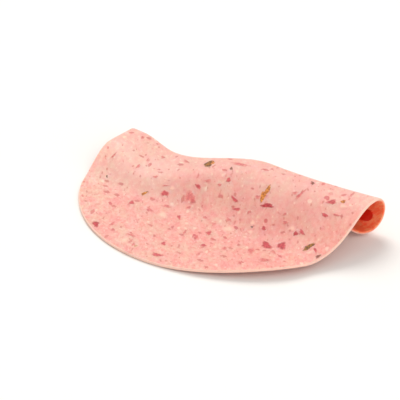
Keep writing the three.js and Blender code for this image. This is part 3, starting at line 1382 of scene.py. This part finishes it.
@dataclass
class Bits:
    """All the bits of one kind, set in the skins of the slice as small closed lenses."""

    kind: BitKind
    slice_of: CookedSlice
    seen: Sequence[SeenBit]
    camera: PhotoCamera
    hidden_count: int
    length_range: Span = (1.2, 3.6)
    slimness: Span = (0.4, 0.9)
    longest: Span = (5.5, 3.0)
    mouth_start: float = 42.0
    spokes: int = 20
    outgrown: float = 1.5  # of a lens against the bit seen, for what its edge loses
    rows_past_crest: int = 8
    under_share: float = 0.72  # of the bits out of sight, how many are on the lower skin
    rim_gap: float = 2.5
    crest_gap: float = 2.0
    tries: int = 3
    waves: tuple[tuple[int, float], ...] = ((2, 0.1), (3, 0.16), (5, 0.08))
    rise: float = 0.06
    step: float = 0.2
    rings: tuple[float, ...] = (0.0, 0.45, 0.75, 0.95, 1.08, 0.0)
    ring_heights: tuple[float, ...] = (1.0, 0.92, 0.55, 0.05, -0.5, -4.0)

    def seen_at(self, u: Grid, v: Grid) -> Grid:
        """The pixel of the photograph that shows a place on the upper skin."""
        half = np.full(u.shape, self.slice_of.form.thickness / 2.0)
        return self.camera.pixels(self.slice_of.placed.point(u, v, half))

    def from_photo(self) -> BitPlaces:
        """Where the seen bits lie in the sheet.

        Each is matched to the nearest grid point of the upper skin, as the photograph's
        camera sees it, from the near edge to just over the crest. Two short steps over the
        sheet tell how pixels change with u and v. The inverse of that turns what is left
        of the distance, and the bit's half axes, from pixels into millimetres.

        Returns:
            The places of the bits.
        """
        u, v = self.slice_of.flat_grid()
        crest = sum(self.slice_of.rows[:3]) + self.rows_past_crest
        u, v = u[:crest].ravel(), v[:crest].ravel()
        at = np.array([bit.at for bit in self.seen])
        gap = np.linalg.norm(at[:, None] - self.seen_at(u, v)[None], axis=-1)
        u, v = u[gap.argmin(axis=-1)], v[gap.argmin(axis=-1)]
        along_u = self.seen_at(u + self.step, v) - self.seen_at(u - self.step, v)
        along_v = self.seen_at(u, v + self.step) - self.seen_at(u, v - self.step)
        to_sheet = np.linalg.inv(np.stack([along_u, along_v], axis=-1) / (2.0 * self.step))
        left = (to_sheet @ (at - self.seen_at(u, v))[..., None])[..., 0]
        left = np.clip(left, -1.0, 1.0)

        turn = np.radians([bit.turn for bit in self.seen])
        size = np.array([[bit.length, bit.width] for bit in self.seen]) / 2.0 * self.outgrown
        level = np.stack([np.cos(turn), -np.sin(turn)], axis=-1) * size[:, :1]
        upright = np.stack([np.sin(turn), np.cos(turn)], axis=-1) * size[:, 1:]
        half_axes = to_sheet @ np.stack([level, upright], axis=-1)
        reach = np.linalg.norm(half_axes, axis=1, keepdims=True)
        half_axes = half_axes * np.minimum(1.0, np.array(self.longest) / reach)
        return BitPlaces(u + left[:, 0], v + left[:, 1], half_axes, np.ones(len(self.seen)))

    def out_of_sight(self, draw: np.random.Generator) -> BitPlaces:
        """Bits for what the photograph doesn't show: the lower skin and the roll's inner turns.

        Args:
            draw: The random draw.

        Returns:
            The places of the bits.
        """
        form = self.slice_of.form
        tries = draw.random((self.hidden_count * self.tries, 6))
        u = (tries[:, 0] * 2.0 - 1.0) * form.radius
        side = np.where(tries[:, 2] < self.under_share, -1.0, 1.0)
        roll = form.section(u)
        over_crest = roll.top_start + roll.taken_up + 2.0 * roll.flat_top + self.crest_gap
        v = lerp(np.where(side < 0.0, -form.radius, over_crest), form.far_reach, tries[:, 1])
        in_mouth = (side < 0.0) & (v > over_crest) & (u > self.mouth_start)
        fits = (self.slice_of.rim_reach(u, v) > self.rim_gap) & ~in_mouth
        length = lerp(*self.length_range, tries[:, 3] ** 2) / 2.0
        width = length * lerp(*self.slimness, tries[:, 4])
        cos, sin = np.cos(tries[:, 5] * math.pi), np.sin(tries[:, 5] * math.pi)
        half_axes = np.array([[cos * length, -sin * width], [sin * length, cos * width]])
        kept = np.flatnonzero(fits)[: self.hidden_count]
        return BitPlaces(u[kept], v[kept], half_axes.transpose(2, 0, 1)[kept], side[kept])

    def build(self, draw: np.random.Generator) -> Piece:
        """Builds every bit of this kind as one joined mesh.

        A bit is a polar grid: its radius swings by three slow waves round its outline, and
        its height falls from the middle, just proud of the skin, to an edge just under it.
        One more point, deep in the flesh, closes it below.

        Args:
            draw: The random draw.

        Returns:
            The new piece.
        """
        seen, hidden = self.from_photo(), self.out_of_sight(draw)
        pairs = ((seen.u, hidden.u), (seen.v, hidden.v), (seen.side, hidden.side))
        u, v, side = (np.concatenate(pair)[:, None, None] for pair in pairs)
        half_axes = np.concatenate([seen.half_axes, hidden.half_axes])
        angle = np.linspace(0.0, 2.0 * math.pi, self.spokes, endpoint=False)[None, None, :]
        phase = draw.random((len(u), len(self.waves), 1)) * 2.0 * math.pi
        swing = np.zeros((len(u), 1, self.spokes))
        for wave, (count, size) in enumerate(self.waves):
            swing = swing + size * np.sin(count * angle + phase[:, wave : wave + 1])
        ring = np.array(self.rings)[None, :, None]
        height = np.array(self.ring_heights)[None, :, None] * self.rise
        reach = ring * (1.0 + swing)
        spot = np.stack([reach * np.cos(angle), reach * np.sin(angle)], axis=-1)
        offset = np.einsum("nij,nrsj->nrsi", half_axes, spot)
        flat_u, flat_v = u + offset[..., 0], v + offset[..., 1]
        half = self.slice_of.form.thickness / 2.0
        depth = side * (half + height) + 0.0 * flat_u
        points = self.slice_of.placed.point(flat_u, flat_v, depth)
        share = np.minimum(ring, 1.0) + 0.0 * flat_u
        piece = make_piece(self.kind.value, points.reshape(-1, 3), self.faces(side))
        store(piece, SHEET_PLACE, np.stack([flat_u, flat_v, depth], axis=-1).reshape(-1, 3))
        # The painted glow and painted shade inside the roll, for the flesh round the bit.
        store(piece, PAINTED_ROLL_LIGHT, self.slice_of.painted_roll_light_share(flat_u, flat_v, depth).ravel())
        store(piece, BIT_SHARE, share.ravel())
        weld(piece)
        return piece

    def faces(self, side: Grid) -> list[list[int]]:
        """The faces of every bit, from ring to ring, turned outwards on either skin.

        Args:
            side: For each bit, 1 on the upper skin and -1 on the lower.

        Returns:
            The faces, as vertex numbers.
        """
        shape = (len(side), len(self.rings), self.spokes)
        number = np.arange(math.prod(shape)).reshape(shape)
        inner, outer = number[:, :-1], number[:, 1:]
        corners = [inner, outer, np.roll(outer, -1, axis=2), np.roll(inner, -1, axis=2)]
        quads = np.stack(corners, axis=-1)
        quads = np.where(side[..., None] > 0.0, quads, quads[..., ::-1])
        return quads.reshape(-1, 4).tolist()


# --- The floor, the light and the air ---


@dataclass(frozen=True)
class SoftLamp:
    """A far, broad lamp: where it hangs, in degrees, and its strength, colour and breadth."""

    name: str
    azimuth: float
    elevation: float
    strength: float
    colour: tuple[float, float, float]
    breadth: float

    def hang(self) -> None:
        """Hangs the lamp."""
        data = bpy.data.lights.new(self.name, "SUN")
        data.energy = self.strength
        data.angle = math.radians(self.breadth)
        data.color = self.colour
        lamp = put(self.name, data)
        away = Vector(PhotoCamera.outward(self.azimuth, self.elevation))
        lamp.rotation_mode = "QUATERNION"
        lamp.rotation_quaternion = away.to_track_quat("Z", "Y")


@dataclass(frozen=True)
class Studio:
    """A plain pale floor under a white sky, a soft light from behind and a fill from the right."""

    floor_reach: float = 6000.0
    floor_colour: Colour = paint(246, 244, 241)
    key: SoftLamp = SoftLamp("key", -128.0, 45.0, 1.8, (1.0, 0.985, 0.96), 36.0)
    fill: SoftLamp = SoftLamp("fill", 72.0, 32.0, 0.9, (1.0, 0.91, 0.84), 60.0)
    sky_strength: float = 0.62
    sky_seen: float = 1.0

    def floor(self) -> None:
        """Lays the floor just under the slice."""
        reach = self.floor_reach * MM
        mesh = bpy.data.meshes.new("floor")
        ways = [(-1.0, -1.0), (1.0, -1.0), (1.0, 1.0), (-1.0, 1.0)]
        corners = [(x * reach, y * reach, 0.0) for x, y in ways]
        mesh.from_pydata(corners, [], [(0, 1, 2, 3)])
        floor = put("floor", mesh)
        recipe = Recipe.on(floor, "pale_floor")
        shader = recipe.shader(base_color=self.floor_colour, roughness=0.85, specular_ior_level=0.1)
        recipe.finish(shader)

    def sky(self) -> None:
        """Fills the air with even white light, and shows it as plain white behind all."""
        world = bpy.data.worlds.new("sky")
        world.use_nodes = True
        bpy.context.scene.world = world
        recipe = Recipe(world.node_tree)
        seen = recipe.node("LightPath", output="Is Camera Ray")
        strength = seen * (self.sky_seen - self.sky_strength) + self.sky_strength
        white = (1.0, 1.0, 1.0, 1.0)
        air = recipe.node("Background", {}, {"Color": white, "Strength": strength})
        recipe.node("OutputWorld", {}, {"Surface": air})

    def build(self) -> None:
        """Builds the floor, the lamps and the air, and shows colours as they are."""
        self.floor()
        self.key.hang()
        self.fill.hang()
        self.sky()
        bpy.context.scene.view_settings.view_transform = "Standard"


# The bits that the photograph shows large enough to place.
SEEN_BITS: dict[BitKind, tuple[SeenBit, ...]] = {
    BitKind.DEEP: (
        SeenBit((154.6, 181.0), 2.4, 1.9),
        SeenBit((232.6, 172.6), 5.0, 1.5, -4.0),
        SeenBit((245.5, 185.4), 1.7, 1.8),
        SeenBit((232.2, 190.8), 3.6, 2.4, -15.0),
        SeenBit((239.1, 190.9), 3.7, 2.4, 15.0),
    ),
    BitKind.MEAT: (
        SeenBit((186.0, 167.0), 3.0, 2.3, -10.0),
        SeenBit((201.2, 163.9), 2.8, 1.4, -50.0),
        SeenBit((192.4, 177.8), 1.4, 1.6),
        SeenBit((170.9, 171.2), 2.4, 1.3, 20.0),
        SeenBit((185.4, 189.8), 1.6, 1.6),
        SeenBit((206.0, 185.1), 2.1, 1.5),
        SeenBit((203.6, 190.6), 2.5, 0.9),
        SeenBit((182.4, 195.0), 4.4, 1.2, -10.0),
        SeenBit((215.0, 161.0), 2.2, 1.5, 45.0),
        SeenBit((217.7, 169.8), 3.2, 1.4, -40.0),
        SeenBit((218.7, 174.3), 3.2, 1.2),
        SeenBit((262.0, 171.0), 3.6, 1.9),
        SeenBit((248.4, 184.8), 2.6, 1.4, -45.0),
        SeenBit((258.8, 177.0), 2.5, 1.6, -20.0),
        SeenBit((231.0, 183.0), 1.8, 1.4, -45.0),
        SeenBit((254.4, 192.9), 1.9, 1.1, -70.0),
    ),
    BitKind.ROSE: (
        SeenBit((181.7, 159.5), 2.3, 1.0),
        SeenBit((173.9, 154.7), 2.6, 1.0, 35.0),
        SeenBit((162.8, 149.7), 3.3, 0.9, 46.0),
        SeenBit((185.2, 150.6), 1.6, 1.2),
        SeenBit((196.0, 152.6), 2.8, 0.9, -25.0),
        SeenBit((179.5, 174.5), 3.2, 1.0, -43.0),
        SeenBit((189.5, 182.4), 1.3, 1.4),
        SeenBit((162.2, 180.8), 2.0, 1.2, 30.0),
        SeenBit((162.5, 183.5), 1.6, 1.0),
        SeenBit((170.8, 186.0), 3.2, 1.0, -25.0),
        SeenBit((171.8, 190.2), 1.6, 1.3),
        SeenBit((181.3, 186.4), 1.3, 1.2),
        SeenBit((197.0, 173.4), 2.2, 1.3, 30.0),
        SeenBit((197.2, 168.6), 4.4, 5.0),
        SeenBit((204.3, 178.0), 1.7, 1.3),
        SeenBit((208.2, 181.0), 2.0, 1.4),
        SeenBit((205.6, 161.4), 2.8, 1.6),
        SeenBit((211.0, 163.2), 1.9, 1.2),
        SeenBit((187.0, 172.9), 3.4, 1.1, -10.0),
        SeenBit((186.4, 163.5), 2.6, 0.8),
        SeenBit((195.0, 184.7), 2.8, 0.8, 45.0),
        SeenBit((200.0, 187.2), 1.5, 1.0),
        SeenBit((207.9, 188.0), 2.6, 1.1, -10.0),
        SeenBit((220.2, 153.8), 8.8, 1.2, -9.0),
        SeenBit((231.6, 156.3), 3.2, 0.9, -6.0),
        SeenBit((247.8, 167.5), 7.0, 0.9, 44.0),
        SeenBit((245.3, 166.9), 2.2, 1.4),
        SeenBit((228.3, 168.7), 2.2, 1.6),
        SeenBit((215.0, 179.0), 2.0, 1.4, -30.0),
        SeenBit((224.3, 175.6), 2.0, 1.2, 40.0),
        SeenBit((240.6, 176.5), 1.8, 1.2, 30.0),
        SeenBit((264.2, 177.0), 4.2, 0.9, -12.0),
        SeenBit((240.8, 180.4), 2.4, 1.5),
        SeenBit((267.4, 167.9), 2.2, 0.9, 15.0),
        SeenBit((235.6, 193.8), 2.6, 0.9, -38.0),
        SeenBit((225.3, 193.2), 2.6, 2.0),
        SeenBit((219.5, 190.5), 1.4, 1.1),
        SeenBit((213.2, 192.0), 1.6, 1.3),
        SeenBit((231.2, 197.4), 4.8, 1.6),
        SeenBit((220.2, 198.6), 1.9, 1.4),
        SeenBit((176.0, 141.6), 1.6, 1.2),
    ),
    BitKind.HERB: (
        SeenBit((206.0, 153.6), 3.8, 2.4, 25.0),
        SeenBit((251.3, 191.5), 4.6, 1.4, 30.0),
    ),
    BitKind.PEPPER: (
        SeenBit((176.7, 167.0), 2.4, 0.9, 30.0),
        SeenBit((230.7, 168.3), 4.4, 1.6, 64.0),
        SeenBit((232.5, 165.8), 4.4, 1.3, 52.0),
        SeenBit((267.1, 170.8), 1.8, 1.0, 20.0),
        SeenBit((207.8, 153.0), 1.4, 1.2, 50.0),
    ),
    BitKind.SPICE: (
        SeenBit((255.7, 195.7), 2.3, 1.0, 20.0),
        SeenBit((253.3, 162.4), 1.4, 1.1, -20.0),
        SeenBit((216.3, 155.7), 1.2, 1.1),
        SeenBit((159.7, 159.3), 0.7, 0.9),
        SeenBit((225.6, 182.3), 0.8, 0.7),
    ),
    BitKind.FAT: (
        SeenBit((184.8, 176.6), 3.8, 2.4),
        SeenBit((167.5, 188.4), 3.4, 3.0),
        SeenBit((189.4, 164.6), 1.8, 1.8),
        SeenBit((226.0, 180.5), 1.8, 2.0),
        SeenBit((224.8, 184.6), 2.4, 1.5),
        SeenBit((243.8, 183.0), 2.9, 2.1, 15.0),
        SeenBit((215.0, 183.2), 4.4, 3.0),
        SeenBit((267.2, 172.9), 3.2, 1.6),
        SeenBit((251.8, 193.9), 3.0, 1.2, 20.0),
    ),
}

HIDDEN_COUNTS: dict[BitKind, int] = {
    BitKind.DEEP: 14,
    BitKind.MEAT: 56,
    BitKind.ROSE: 100,
    BitKind.HERB: 12,
    BitKind.PEPPER: 10,
    BitKind.SPICE: 8,
    BitKind.FAT: 26,
}


def main() -> None:
    """Builds the slice, its bits and the studio, in that order."""
    logging.basicConfig(level=logging.INFO, format="%(name)s: %(message)s")
    camera = PhotoCamera()
    cooked = CookedSlice()
    camera.add(target=cooked.middle_of())
    sheet = cooked.build()
    CookedFlesh().dress(sheet)
    log.info("%s: %d faces", sheet.name, len(sheet.data.polygons))
    for number, kind in enumerate(BitKind):
        bits = Bits(kind, cooked, SEEN_BITS[kind], camera, HIDDEN_COUNTS[kind])
        piece = bits.build(np.random.default_rng(FIRST_SEED + number))
        BIT_FINISHES[kind].dress(piece)
        log.info("%s: %d faces", piece.name, len(piece.data.polygons))
    Studio().build()


if __name__ == "__main__":
    main()
